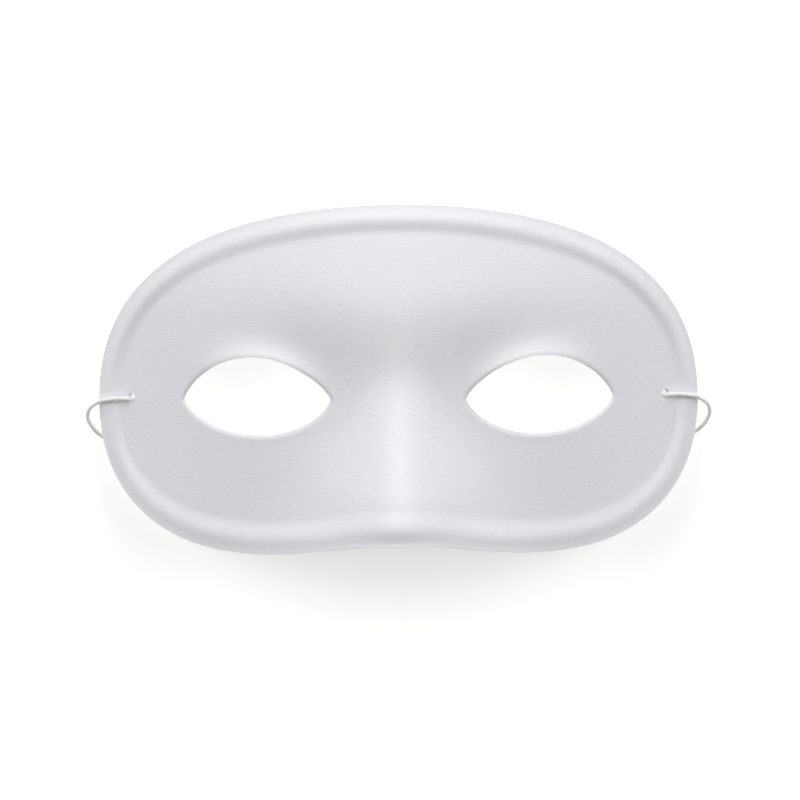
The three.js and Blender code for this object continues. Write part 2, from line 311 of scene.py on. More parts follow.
class FinishColours(PropertyGroup):
    """The colours of the cloth, its lining and the elastic"""

    cloth: tint("Cloth", (0.787, 0.784, 0.829), "White cloth on the face")
    # Painted shade: the cloth is coloured darker between its raised threads, where shade falls.
    cloth_shade: tint("Cloth Shade", (0.737, 0.734, 0.781), "Cloth between its raised threads")
    lining: tint("Lining", (0.77, 0.765, 0.745), "Pressed fibre at the back")
    # Painted shade: the lining is coloured darker in the hollows of its pressed fibre.
    lining_shade: tint("Lining Shade", (0.69, 0.685, 0.66), "Hollows of the pressed fibre")
    # The cut edge is whiter than the cloth: the colour of its loose fibres, and partly a painted
    # highlight where the edges catch the light.
    edge: tint("Cut Edge", (0.92, 0.92, 0.92), "Loose white fibres along a cut edge")
    elastic: tint("Elastic", (0.9, 0.9, 0.9), "Braided elastic")
    # Painted shade: the elastic is coloured darker in the grooves of its braid.
    elastic_shade: tint("Elastic Shade", (0.8, 0.8, 0.8), "Grooves of the braid")
    thread: length("Thread Pitch", 0.00045, "Distance from one thread of the cloth to the next")


class StageSizes(PropertyGroup):
    """Where the camera stands and what it takes in"""

    view_tilt: FloatProperty(
        name="View Tilt", description="How far the camera leans to the forehead",
        default=math.radians(22), unit="ROTATION", subtype="ANGLE")
    view_roll: FloatProperty(
        name="View Roll", description="How far the camera is turned about its view",
        default=math.radians(-0.47), unit="ROTATION", subtype="ANGLE")
    view_distance: length("View Distance", 0.8, "Distance from the camera to the face")
    view_width: length("View Width", 0.2104, "Width of the picture at the face")
    aim_aside: length("Aim Aside", 0.0004, "How far right of the face's middle the camera aims")
    aim_depth: length("Aim Depth", 0.01, "How far behind the face's front the camera aims")


class EyeMaskSettings(PropertyGroup):
    """All sizes and colours of the mask"""

    outline: PointerProperty(type=OutlineSizes)
    eye: PointerProperty(type=EyeHoleSizes)
    relief: PointerProperty(type=ReliefSizes)
    edge: PointerProperty(type=EdgeSizes)
    rest: PointerProperty(type=RestSizes)
    elastic: PointerProperty(type=ElasticSizes)
    colours: PointerProperty(type=FinishColours)
    stage: PointerProperty(type=StageSizes)


def set_bumps(relief):
    """The three bumps share one kind of settings, so their own sizes are set here."""
    sizes = (
        (relief.brow, 0.00094, (0, 0.0266), (0.068, 0.0115)),
        (relief.socket, -0.00227, (0.0243, 0.006), (0.0139, 0.0157)),
        (relief.eyelid, 0.0118, (0.0357, 0.0041), (0.01, 0.007)),
    )
    for bump, height, centre, spread in sizes:
        bump.height = height
        bump.centre = centre
        bump.spread = spread


# Shape of the face, in its own frame: x across, y to the forehead, z out of the face.

def soft_ramp(s, soft):
    """A ramp that is 0 well below s = 0, s well above it, and rounded between."""
    return 0.5 * (s + math.hypot(s, soft))


def clamp(value, low, high):
    return max(low, min(high, value))


class FaceForm:
    """Height of the moulded face at any place on it."""

    def __init__(self, relief):
        for name in relief.__annotations__:
            setattr(self, name, getattr(relief, name))
        bumps = (relief.brow, relief.socket, relief.eyelid)
        self.bumps = [(b.height, *b.centre, *b.spread) for b in bumps]

    def nose(self, x, y):
        rise = self.nose_rise * soft_ramp(self.nose_root - y, self.nose_soft)
        fall = self.tip_fall * soft_ramp(self.tip_start - y, self.tip_soft)
        along = clamp((self.nose_root - y) / (self.nose_root - self.nose_tip), *NOSE_SHARES)
        spread = self.nose_tip_width - self.nose_root_width
        width = max(self.nose_root_width + spread * along, NOSE_LEAST_WIDTH)
        return (rise - fall) * math.exp(-((x / width) ** 2))

    def wrap(self, x, y):
        bend = math.hypot(1, x / self.wrap_width) - 1
        return self.wrap_depth * bend * (1 + self.wrap_twist * (y - self.wrap_level))

    def height(self, x, y):
        relief = 0
        for height, centre_x, centre_y, wide, tall in self.bumps:
            across = (abs(x) - centre_x) / wide
            along = (y - centre_y) / tall
            relief += height * math.exp(-across * across - along * along)
        turn = soft_ramp(y - self.forehead_start, self.forehead_soft)
        forehead = self.forehead_fall * turn * turn
        return relief + self.nose(x, y) - forehead - self.wrap(x, y)


def along_bezier(ends, t):
    """A point of a Bezier curve and the way it runs there."""
    a, b, c, d = ends
    s = 1 - t
    point = a * s ** 3 + b * (3 * s * s * t) + c * (3 * s * t * t) + d * t ** 3
    run = (b - a) * (s * s) + (c - b) * (2 * s * t) + (d - c) * (t * t)
    return point, run.normalized()


def outline_curves(sizes):
    brow, side, cheek, notch = (
        Vector(p) for p in (sizes.brow, sizes.side, sizes.cheek, sizes.notch))
    brow_on, notch_on, cheek_out, cheek_in = (
        Vector((reach, 0))
        for reach in (sizes.brow_reach, sizes.notch_reach, sizes.cheek_out, sizes.cheek_in))
    side_up, side_down = Vector((0, sizes.side_up)), Vector((0, sizes.side_down))
    return [
        (brow, brow + brow_on, side + side_up, side),
        (side, side - side_down, cheek + cheek_out, cheek),
        (cheek, cheek - cheek_in, notch + notch_on, notch),
    ]


def eye_curves(sizes):
    """The four quarters of the eye hole, clockwise from its inner corner."""
    inner, top, outer, bottom = (
        Vector(p) for p in (sizes.inner, sizes.top, sizes.outer, sizes.bottom))
    up = Vector((0, sizes.corner_handle))
    return [
        (inner, inner + up, top - Vector((sizes.top_in, 0)), top),
        (top, top + Vector((sizes.top_out, 0)), outer + up, outer),
        (outer, outer - up, bottom + Vector((sizes.bottom_out, 0)), bottom),
        (bottom, bottom - Vector((sizes.bottom_in, 0)), inner - up, inner),
    ]


def running_lengths(points):
    """How far along a line of points each of them lies."""
    reach = [0]
    for before, after in zip(points, points[1:]):
        reach.append(reach[-1] + (after - before).length)
    return reach


def even_steps(curves, steps):
    """Points at even steps along joined curves, each with the way that they run there."""
    shares = [i / CURVE_SAMPLES for i in range(CURVE_SAMPLES + 1)]
    samples = [along_bezier(ends, share) for ends in curves for share in shares]
    reach = running_lengths([point for point, _ in samples])
    result = []
    last = 0
    for i in range(steps + 1):
        wanted = reach[-1] * i / steps
        while last + 2 < len(reach) and reach[last + 1] < wanted:
            last += 1
        gap = reach[last + 1] - reach[last]
        share = (wanted - reach[last]) / gap if gap > 0 else 0
        point = samples[last][0].lerp(samples[last + 1][0], share)
        run = samples[last][1].lerp(samples[last + 1][1], share).normalized()
        result.append((point, run))
    return result


def beside(point, run, distance):
    """A place to the right of a point, seen along the way that the curve runs."""
    return point.x + run.y * distance, point.y - run.x * distance


class MaskRows:
    """Rows of points over the right half of the face, for its three bands."""

    def __init__(self, mask):
        self.face = FaceForm(mask.relief)
        self.edge = mask.edge
        self.outline = even_steps(outline_curves(mask.outline), HALF_STEPS)
        self.eye = eye_curves(mask.eye)

    def rim_roll(self, inward):
        """Height of the rolled rim: a flange, a crest and a foot."""
        edge = self.edge
        rise = clamp((inward - edge.rim_start) / (edge.rim_crest - edge.rim_start), 0, 1)
        if rise < 1:
            swell = math.sin(0.5 * math.pi * rise) ** 2
            return edge.rim_edge + (edge.rim_height - edge.rim_edge) * swell
        fall = (inward - edge.rim_crest) / (edge.rim_end - edge.rim_crest)
        return edge.rim_height * math.cos(0.5 * math.pi * fall) ** 2

    def rim_row(self, inward):
        """A row at one distance from the outline, measured along the slope of the face."""
        edge = self.edge
        roll = self.rim_roll(inward)
        flare = edge.flare_height * max(0, 1 - inward / edge.flare_width) ** 2
        row = []
        for i, (point, run) in enumerate(self.outline):
            inside = beside(point, run, SLOPE_STEP)
            rise = self.face.height(*inside) - self.face.height(*point)
            steep = math.hypot(1, rise / SLOPE_STEP)
            slim, turned = 1, 0
            if point.y > 0:
                slim += edge.rim_narrow * math.exp(-((point.x / edge.rim_reach) ** 2))
            else:
                turned = flare * math.exp(-((point.x / edge.flare_reach) ** 2))
            x, y = beside(point, run, inward / steep / slim)
            if i in (0, HALF_STEPS):
                x = 0
            row.append(Vector((x, y, self.face.height(x, y) + (roll + turned) * steep)))
        return row

    def eye_row(self, outward):
        """A row at one distance from the eye hole, where its edge curls back."""
        share = max(0, 1 - outward / self.edge.lip_width)
        curl = self.edge.lip_curl * share * share
        row = []
        for column in range(LOOP_STEPS + 1):
            place_round = column if column < EYE_COLUMNS[4] else column - LOOP_STEPS
            quarter = max(q for q in range(4) if EYE_COLUMNS[q] <= place_round)
            first, last = EYE_COLUMNS[quarter:quarter + 2]
            share_round = (place_round - first) / (last - first)
            point, run = along_bezier(self.eye[quarter], share_round)
            x, y = beside(point, run, -outward)
            row.append(Vector((x, y, self.face.height(x, y) - curl)))
        return row

    def field_loop(self):
        """The inner line of the rim, and then up the middle of the face."""
        loop = self.rim_row(self.edge.rim_end)
        low, high = loop[-1].y, loop[0].y
        for i in range(1, MIDDLE_STEPS + 1):
            y = low + (high - low) * i / MIDDLE_STEPS
            loop.append(Vector((0, y, self.face.height(0, y))))
        return loop

    def rim(self):
        edge = self.edge
        flange = [self.rim_row(edge.rim_start * i / 2) for i in range(2)]
        wide = edge.rim_end - edge.rim_start
        return flange + [
            self.rim_row(edge.rim_start + wide * i / RIM_STEPS) for i in range(RIM_STEPS + 1)]

    def field(self):
        outer = self.field_loop()
        inner = self.eye_row(self.edge.lip_width)
        rows = []
        for i in range(FIELD_STEPS + 1):
            row = [start.lerp(end, i / FIELD_STEPS) for start, end in zip(outer, inner)]
            for point in row:
                point.z = self.face.height(point.x, point.y)
            rows.append(row)
        return rows

    def lip(self):
        return [
            self.eye_row(self.edge.lip_width * (1 - i / LIP_STEPS))
            for i in range(LIP_STEPS + 1)]


# Modelling helpers.

def deselect_all():
    if bpy.context.object and bpy.context.object.mode != "OBJECT":
        bpy.ops.object.mode_set(mode="OBJECT")
    for thing in bpy.context.view_layer.objects:
        thing.select_set(False)


def make_active(thing):
    deselect_all()
    thing.select_set(True)
    bpy.context.view_layer.objects.active = thing


def edit_all(thing):
    """Opens a mesh in edit mode with all of it selected."""
    make_active(thing)
    bpy.ops.object.mode_set(mode="EDIT")
    bpy.ops.mesh.select_all(action="SELECT")


def leave_edit():
    bpy.ops.object.mode_set(mode="OBJECT")


def apply_modifier(thing, kind, **values):
    make_active(thing)
    modifier = thing.modifiers.new(kind.title(), kind)
    for name, value in values.items():
        setattr(modifier, name, value)
    bpy.ops.object.modifier_apply(modifier=modifier.name)


def shaped_grid(name, rows):
    """A grid shaped so that each of its vertices lies at its place in the rows."""
    columns = len(rows[0]) - 1
    steps = len(rows) - 1
    deselect_all()
    bpy.ops.mesh.primitive_grid_add(
        x_subdivisions=columns, y_subdivisions=steps, size=1, calc_uvs=False)
    grid = bpy.context.object
    grid.name = name
    for vertex in grid.data.vertices:
        column = round((vertex.co.x + 0.5) * columns)
        row = round((0.5 - vertex.co.y) * steps)
        vertex.co = rows[row][column]
    return grid


def joined(things):
    make_active(things[0])
    for thing in things[1:]:
        thing.select_set(True)
    bpy.ops.object.join()
    return bpy.context.object


# The mask shell.

def front_sheet(mask):
    rows = MaskRows(mask)
    bands = [
        shaped_grid("rim_band", rows.rim()),
        shaped_grid("field_band", rows.field()),
        shaped_grid("lip_band", rows.lip()),
    ]
    sheet = joined(bands)
    edit_all(sheet)
    bpy.ops.mesh.remove_doubles(threshold=MERGE_GAP)
    leave_edit()
    apply_modifier(
        sheet, "MIRROR", use_axis=(True, False, False), use_mirror_merge=True,
        merge_threshold=MERGE_GAP)
    return sheet


def lay_threads(sheet, face):
    """Gives each point its place in the cloth: the length of cloth from the middle of the
    face, and a level that sags where the cloth was pulled back over the form."""
    reach = [0]
    while SLOPE_STEP * (len(reach) - 1) < CLOTH_REACH:
        x = SLOPE_STEP * len(reach)
        rise = face.wrap(x, face.wrap_level) - face.wrap(x - SLOPE_STEP, face.wrap_level)
        reach.append(reach[-1] + math.hypot(SLOPE_STEP, rise))

    def cloth_length(x):
        whole, part = divmod(abs(x) / SLOPE_STEP, 1)
        near, far = reach[int(whole)], reach[int(whole) + 1]
        return math.copysign(near + (far - near) * part, x)

    threads = sheet.data.uv_layers.new(name="threads")
    for loop, uv in zip(sheet.data.loops, threads.data):
        point = sheet.data.vertices[loop.vertex_index].co
        uv.uv = (cloth_length(point.x), point.y - THREAD_SAG * point.z)


def ripple(sheet, height):
    """Faint unevenness of cloth that is glued and pressed over the form."""
    for vertex in sheet.data.vertices:
        swell = sum(
            share * noise.noise(vertex.co * pace + Vector(start))
            for pace, share, start in RIPPLES)
        vertex.co.z += height * swell


def lay_down(thing, rest):
    """Turns the mask from its face frame to how it lies."""
    turn = Matrix.Rotation(-rest.tilt, 4, "X")
    move = Matrix.Translation((0, rest.shift, rest.lift))
    thing.data.transform(move @ turn)


def hole_cutters(mask, face):
    """Two round cutters, square to the wall at the string holes."""
    edge = mask.edge
    x, y = edge.hole
    step = SLOPE_STEP / 2
    slope_x = (face.height(x + step, y) - face.height(x - step, y)) / SLOPE_STEP
    slope_y = (face.height(x, y + step) - face.height(x, y - step)) / SLOPE_STEP
    cutters = []
    for side in (-1, 1):
        outward = Vector((-slope_x * side, -slope_y, 1)).normalized()
        deselect_all()
        bpy.ops.mesh.primitive_cylinder_add(
            vertices=CUTTER_SIDES, radius=edge.hole_radius, depth=CUTTER_LENGTH,
            location=(side * x, y, face.height(x, y)),
            rotation=outward.to_track_quat("Z", "Y").to_euler())
        bpy.ops.object.transform_apply(location=True, rotation=True, scale=True)
        cutters.append(bpy.context.object)
    return joined(cutters)


def cut_flats(shell):
    """Cuts the shell off where it would reach below the floor."""
    edit_all(shell)
    bpy.ops.mesh.bisect(
        plane_co=(0, 0, 0), plane_no=(0, 0, 1), use_fill=True, clear_inner=True,
        threshold=MERGE_GAP / 10)
    leave_edit()


def model_shell(mask):
    face = FaceForm(mask.relief)
    kinds = (cloth_material, lining_material, cut_edge_material)
    finishes = [kind(mask.colours) for kind in kinds]
    shell = front_sheet(mask)
    shell.name = "mask_cloth_shell"
    lay_threads(shell, face)
    ripple(shell, mask.edge.ripple)
    lay_down(shell, mask.rest)
    cutters = hole_cutters(mask, face)
    lay_down(cutters, mask.rest)
    for thing in (shell, cutters):
        for finish in finishes:
            thing.data.materials.append(finish)
    for polygon in cutters.data.polygons:
        polygon.material_index = EDGE_SLOT
    apply_modifier(
        shell, "SOLIDIFY", thickness=mask.edge.wall, offset=-1,
        material_offset=LINING_SLOT, material_offset_rim=EDGE_SLOT)
    apply_modifier(shell, "BOOLEAN", operation="DIFFERENCE", solver="EXACT", object=cutters)
    bpy.data.objects.remove(cutters)
    cut_flats(shell)
    apply_modifier(
        shell, "BEVEL", width=mask.edge.round, segments=ROUND_SEGMENTS, limit_method="ANGLE",
        angle_limit=SHARP_EDGE)
    make_active(shell)
    bpy.ops.object.shade_smooth_by_angle(angle=SHELL_SMOOTH)
    return shell


# The elastic.

def catmull_handles(points):
    """Bezier handles that carry a centripetal Catmull-Rom curve through the points."""
    ends = [points[0] * 2 - points[1], *points, points[-1] * 2 - points[-2]]
    handles = [[point, point] for point in points]
    for i in range(len(points) - 1):
        a, b, c, d = ends[i:i + 4]
        t0, t1, t2 = (math.sqrt((q - p).length) for p, q in ((a, b), (b, c), (c, d)))
        start = ((b - a) / t0 - (c - a) / (t0 + t1) + (c - b) / t1) * t1
        end = ((c - b) / t1 - (d - b) / (t1 + t2) + (d - c) / t2) * t1
        handles[i][1] = b + start / 3
        handles[i + 1][0] = c - end / 3
    return handles


def curve_points(points, steps):
    """Points along the same curve, with a number of steps from each point to the next."""
    handles = catmull_handles(points)
    result = []
    for i in range(len(points) - 1):
        ends = (points[i], handles[i][1], handles[i + 1][0], points[i + 1])
        result += [along_bezier(ends, s / steps)[0] for s in range(steps)]
    return [*result, points[-1]]


def round_tube(name, points, radius, steps):
    """A closed round tube along a smooth curve, with its length and turn as its UV map."""
    deselect_all()
    bpy.ops.curve.primitive_bezier_curve_add(location=(0, 0, 0))
    thing = bpy.context.object
    thing.name = name
    curve = thing.data
    spline = curve.splines[0]
    spline.bezier_points.add(len(points) - 2)
    handles = catmull_handles(points)
    for bezier, point, (left, right) in zip(spline.bezier_points, points, handles):
        bezier.handle_left_type = "FREE"
        bezier.handle_right_type = "FREE"
        bezier.co = point
        bezier.handle_left = left
        bezier.handle_right = right
    curve.resolution_u = steps
    curve.render_resolution_u = steps
    curve.twist_mode = "MINIMUM"
    curve.bevel_depth = radius
    curve.bevel_resolution = TUBE_RESOLUTION
    curve.use_fill_caps = True
    bpy.ops.object.convert(target="MESH")
    tube = bpy.context.object
    set_tube_lengths(tube, curve_points(points, steps))
    edit_all(tube)
    bpy.ops.mesh.remove_doubles(threshold=MERGE_GAP)
    bpy.ops.mesh.normals_make_consistent(inside=False)
    leave_edit()
    bpy.ops.object.shade_smooth_by_angle(angle=SHARP_EDGE)
    return tube


def set_tube_lengths(tube, line):
    """Turns the map's share of the steps along the tube into a length in metres."""
    reach = running_lengths(line)
    threads = tube.data.uv_layers[0]
    threads.name = "threads"
    for uv in threads.data:
        ring = round(uv.uv.x * (len(line) - 1))
        uv.uv = (reach[ring], uv.uv.y)


def elastic_points():
    """The whole route of the elastic, from the left knot's loop to the right knot's."""
    left = [Vector((-x, y, z)) for x, y, z in TIE_ROUTE]
    middle = [Vector(point) for point in FLOOR_ROUTE]
    right = [Vector(point) for point in reversed(TIE_ROUTE)]
    return left + middle + right


def overhand_knot(side, sizes, material):
    """A tight overhand knot standing on edge, with one short cut tail."""
    radius = sizes.diameter / 2
    size = (sizes.knot_radius - radius) / KNOT_REACH
    start, end = KNOT_OPEN_ANGLE, 2 * math.pi - KNOT_OPEN_ANGLE
    loop = []
    for i in range(KNOT_LOOP_STEPS + 1):
        t = start + (end - start) * i / KNOT_LOOP_STEPS
        across = math.sin(t) + 2 * math.sin(2 * t)
        along = math.cos(t) - 2 * math.cos(2 * t)
        loop.append(Vector((-math.sin(3 * t) * KNOT_DEPTH, along, across)))
    x, y, z = TAIL_END
    tail_tip = Vector((x, y - sizes.tail / size / 2, z))
    path = [p * size for p in (tail_tip, Vector(TAIL_START), *loop, Vector(KNOT_STUB))]
    x, y, z = TIE_ROUTE[0]
    places = [Vector((side * (x + p.x), y + p.y, z + p.z)) for p in path]
    name = "elastic_tied_knot_right" if side > 0 else "elastic_tied_knot_left"
    knot = round_tube(name, places, radius, KNOT_STEPS)
    knot.data.materials.append(material)
    return knot


# Materials.

def new_material(name):
    """A material with one Principled BSDF, and its node tree."""
    material = bpy.data.materials.new(name)
    material.use_nodes = True
    tree = material.node_tree
    return material, tree, tree.nodes["Principled BSDF"]


def new_node(tree, kind, inputs=None, **settings):
    node = tree.nodes.new(kind)
    for name, value in settings.items():
        setattr(node, name, value)
    for key, value in (inputs or {}).items():
        if isinstance(value, bpy.types.NodeSocket):
            tree.links.new(value, node.inputs[key])
        else:
            node.inputs[key].default_value = value
    return node


def math_node(tree, operation, *values, clamp=False):
    inputs = dict(enumerate(values))
    node = new_node(tree, "ShaderNodeMath", inputs, operation=operation, use_clamp=clamp)
    return node.outputs[0]


def new_group(name, inputs, outputs):
    """An empty shader node group with named sockets, and its two ends."""
    group = bpy.data.node_groups.new(name, "ShaderNodeTree")
    for socket, kind, default in inputs:
        made = group.interface.new_socket(socket, in_out="INPUT", socket_type=kind)
        if default is not None:
            made.default_value = default
    for socket, kind in outputs:
        group.interface.new_socket(socket, in_out="OUTPUT", socket_type=kind)
    start = group.nodes.new("NodeGroupInput")
    end = group.nodes.new("NodeGroupOutput")
    return group, start.outputs, end.inputs


def woven_threads_group():
    """A plain weave of uneven threads, with the thicker ones running across the face."""
    name = "Woven Threads"
    if name in bpy.data.node_groups:
        return bpy.data.node_groups[name]
    group, given, result = new_group(
        name,
        [("Cloth Place", "NodeSocketVector", None),
         ("Thread Pitch", "NodeSocketFloat", 0.00045),
         ("Slub Length", "NodeSocketFloat", 0.002),
         ("Unevenness", "NodeSocketFloat", 0.25)],
        [("Height", "NodeSocketFloat"), ("Raised", "NodeSocketFloat")])
    pitch = given["Thread Pitch"]
    axes = new_node(group, "ShaderNodeSeparateXYZ", {0: given["Cloth Place"]}).outputs
    wander = new_node(
        group, "ShaderNodeTexNoise", {"Vector": given["Cloth Place"], "Scale": 160, "Detail": 2})
    drift = math_node(group, "MULTIPLY", wander.outputs["Fac"], given["Unevenness"])
    across = math_node(group, "ADD", math_node(group, "DIVIDE", axes["Y"], pitch), drift)
    warp = math_node(group, "DIVIDE", axes["X"], math_node(group, "MULTIPLY", pitch, WARP_SPACING))
    warp = math_node(group, "ADD", warp, drift)
    sines = [
        math_node(group, "SINE", math_node(group, "MULTIPLY", value, math.pi))
        for value in (across, warp)]
    over = math_node(group, "MULTIPLY", *sines)
    over = math_node(group, "MULTIPLY_ADD", over, 0.5, 0.5)
    rounds = [math_node(group, "ABSOLUTE", sine) for sine in sines]
    weft = math_node(group, "MULTIPLY", rounds[0], over)
    under = math_node(group, "SUBTRACT", 1.0, over)
    upright = math_node(group, "MULTIPLY", rounds[1], under)
    weave = math_node(group, "MULTIPLY_ADD", upright, WARP_HEIGHT, weft)
    slub_pitch = math_node(group, "MULTIPLY", pitch, SLUB_SPACING)
    stretch = new_node(
        group, "ShaderNodeCombineXYZ",
        {"X": math_node(group, "DIVIDE", axes["X"], given["Slub Length"]),
         "Y": math_node(group, "DIVIDE", axes["Y"], slub_pitch)})
    slub = new_node(
        group, "ShaderNodeTexNoise",
        {"Vector": stretch.outputs[0], "Scale": 1.0, "Detail": 2.5, "Roughness": 0.6})
    thick = new_node(
        group, "ShaderNodeMapRange",
        {"Value": slub.outputs["Fac"], "From Min": 0.32, "From Max": 0.68})
    fine = math_node(group, "MULTIPLY", weave, WEAVE_SHARE)
    height = math_node(group, "MULTIPLY_ADD", thick.outputs[0], SLUB_SHARE, fine)
    # Painted light and shade: this colour mask follows the relief, lighter on raised threads and
    # slubs and darker between them.
    raised = math_node(group, "MULTIPLY", height, PAINTED_LIGHT_SHARE, clamp=True)
    group.links.new(height, result["Height"])
    group.links.new(raised, result["Raised"])
    return group


def fine_fibres_group():
    """Short matted fibres, as in pressed felt or along a cut edge."""
    name = "Fine Fibres"
    if name in bpy.data.node_groups:
        return bpy.data.node_groups[name]
    group, given, result = new_group(
        name,
        [("Place", "NodeSocketVector", None),
         ("Fibre Scale", "NodeSocketFloat", 900.0),
         ("Clump Scale", "NodeSocketFloat", 120.0)],
        [("Height", "NodeSocketFloat"), ("Fibre", "NodeSocketFloat")])
    fibres = new_node(
        group, "ShaderNodeTexNoise",
        {"Vector": given["Place"], "Scale": given["Fibre Scale"], "Detail": 4, "Roughness": 0.65,
         "Distortion": 1.6})
    clumps = new_node(
        group, "ShaderNodeTexNoise",
        {"Vector": given["Place"], "Scale": given["Clump Scale"], "Detail": 3})
    height = math_node(
        group, "MULTIPLY_ADD", clumps.outputs["Fac"], CLUMP_SHARE, fibres.outputs["Fac"])
    # This colour mask follows the relief: the lining uses it as painted shade in the fibres'
    # hollows, and the cut edge uses it to lay in lighter fibres.
    fibre = new_node(
        group, "ShaderNodeMapRange", {"Value": height, "From Min": 0.6, "From Max": 1.2})
    group.links.new(height, result["Height"])
    group.links.new(fibre.outputs[0], result["Fibre"])
    return group


def braid_group():
    """Two sets of strands that wind round a cord and cross."""
    name = "Round Braid"
    if name in bpy.data.node_groups:
        return bpy.data.node_groups[name]
    group, given, result = new_group(
        name,
        [("Cord Place", "NodeSocketVector", None),
         ("Stitch Length", "NodeSocketFloat", 0.0009),
         ("Strands", "NodeSocketFloat", 4.0)],
        [("Height", "NodeSocketFloat")])
    axes = new_node(group, "ShaderNodeSeparateXYZ", {0: given["Cord Place"]}).outputs
    along = math_node(group, "DIVIDE", axes["X"], given["Stitch Length"])
    round_cord = math_node(group, "MULTIPLY", axes["Y"], given["Strands"])
    strands = []
    for operation in ("ADD", "SUBTRACT"):
        turn = math_node(group, operation, along, round_cord)
        sine = math_node(group, "SINE", math_node(group, "MULTIPLY", turn, math.pi))
        strands.append(math_node(group, "ABSOLUTE", sine))
    height = math_node(group, "MULTIPLY", *strands)
    group.links.new(math_node(group, "POWER", height, 0.5), result["Height"])
    return group


def place_group(tree, group, **inputs):
    """A group placed in a material, with its inputs given by name."""
    node = tree.nodes.new("ShaderNodeGroup")
    node.node_tree = group
    for key, value in inputs.items():
        socket = node.inputs[key.replace("_", " ").title()]
        if isinstance(value, bpy.types.NodeSocket):
            tree.links.new(value, socket)
        else:
            socket.default_value = value
    return node.outputs


def mixed_colour(tree, share, low, high):
    """A colour between two others, by a mask."""
    mix = new_node(tree, "ShaderNodeMix", {"Factor": share}, data_type="RGBA")
    colours = [socket for socket in mix.inputs if socket.type == "RGBA"]
    for socket, colour in zip(colours, (low, high)):
        socket.default_value = (*colour, 1)
    return next(socket for socket in mix.outputs if socket.type == "RGBA")


def finish_surface(tree, shader, colour, height, depth):
    """Gives a material its colour and its fine relief."""
    tree.links.new(colour, shader.inputs["Base Color"])
    bump = new_node(
        tree, "ShaderNodeBump", {"Height": height, "Distance": depth, "Strength": 1.0})
    tree.links.new(bump.outputs[0], shader.inputs["Normal"])


def set_dull(shader, roughness, sheen):
    """Plain values of a dry, soft surface."""
    shader.inputs["Roughness"].default_value = roughness
    shader.inputs["Specular IOR Level"].default_value = 0.25
    shader.inputs["Sheen Weight"].default_value = sheen
    shader.inputs["Sheen Roughness"].default_value = 0.5


def cloth_material(colours):
    material, tree, shader = new_material("white_woven_cloth")
    threads = new_node(tree, "ShaderNodeUVMap", uv_map="threads").outputs[0]
    weave = place_group(
        tree, woven_threads_group(), cloth_place=threads, thread_pitch=colours.thread)
    # Painted shade between the raised threads: the colour follows the weave's relief.
    colour = mixed_colour(tree, weave["Raised"], colours.cloth_shade, colours.cloth)
    finish_surface(tree, shader, colour, weave["Height"], CLOTH_RELIEF)
    set_dull(shader, roughness=0.85, sheen=0.12)
    return material


def lining_material(colours):
    material, tree, shader = new_material("pressed_fibre_lining")
    where = new_node(tree, "ShaderNodeTexCoord").outputs["Object"]
    fibres = place_group(tree, fine_fibres_group(), place=where)
    # Painted shade: the lining is coloured darker in the hollows of its fibres.
    colour = mixed_colour(tree, fibres["Fibre"], colours.lining_shade, colours.lining)
    finish_surface(tree, shader, colour, fibres["Height"], LINING_RELIEF)
    set_dull(shader, roughness=0.95, sheen=0.1)
    return material


def cut_edge_material(colours):
    material, tree, shader = new_material("cut_cloth_edge")
    where = new_node(tree, "ShaderNodeTexCoord").outputs["Object"]
    fibres = place_group(tree, fine_fibres_group(), place=where, fibre_scale=2400.0)
    # The cut edge is brighter than the cloth: loose white fibres, and partly a painted highlight
    # where the edges catch the light.
    colour = mixed_colour(tree, fibres["Fibre"], colours.cloth, colours.edge)
    finish_surface(tree, shader, colour, fibres["Height"], EDGE_RELIEF)
    set_dull(shader, roughness=0.9, sheen=0.1)
    return material


def elastic_material(mask):
    material, tree, shader = new_material("braided_elastic")
    threads = new_node(tree, "ShaderNodeUVMap", uv_map="threads").outputs[0]
    braid = place_group(
        tree, braid_group(), cord_place=threads, stitch_length=mask.elastic.stitch)
    colours = mask.colours
    # Painted shade: the braid's height colours its grooves darker, where shade falls.
    colour = mixed_colour(tree, braid["Height"], colours.elastic_shade, colours.elastic)
    finish_surface(tree, shader, colour, braid["Height"], BRAID_RELIEF)
    set_dull(shader, roughness=0.6, sheen=0.1)
    return material


def floor_material():
    """A dull white floor with a little light of its own, so that its shadows stay pale."""
    material, _, shader = new_material("pale_floor")
    shader.inputs["Base Color"].default_value = FLOOR_COLOUR
    shader.inputs["Roughness"].default_value = 0.9
    shader.inputs["Specular IOR Level"].default_value = 0.0
    shader.inputs["Emission Color"].default_value = (1, 1, 1, 1)
    shader.inputs["Emission Strength"].default_value = FLOOR_GLOW
    return material


# The stage.

def view_direction(stage):
    return Vector((0, math.sin(stage.view_tilt), math.cos(stage.view_tilt)))


def add_camera(mask):
    stage, rest = mask.stage, mask.rest
    aim = Matrix.Rotation(-rest.tilt, 4, "X") @ Vector((stage.aim_aside, 0, -stage.aim_depth))
    aim += Vector((0, rest.shift, rest.lift))
    deselect_all()
    bpy.ops.object.camera_add()
    camera = bpy.context.object
    camera.name = "camera"
    turn = Matrix.Rotation(-stage.view_tilt, 4, "X") @ Matrix.Rotation(stage.view_roll, 4, "Z")
    eye = aim + view_direction(stage) * stage.view_distance
    camera.matrix_world = Matrix.Translation(eye) @ turn
    camera.data.sensor_width = SENSOR_WIDTH
    camera.data.lens = SENSOR_WIDTH * stage.view_distance / stage.view_width
    camera.data.clip_start, camera.data.clip_end = CLIP_RANGE
    bpy.context.scene.camera = camera


def light_direction(tilt, around):
    """Away from the floor's middle: tilted to the forehead, and turned round the upright."""
    lean = Matrix.Rotation(math.radians(-tilt), 4, "X")
    return Matrix.Rotation(math.radians(around), 4, "Z") @ lean @ Vector((0, 0, 1))


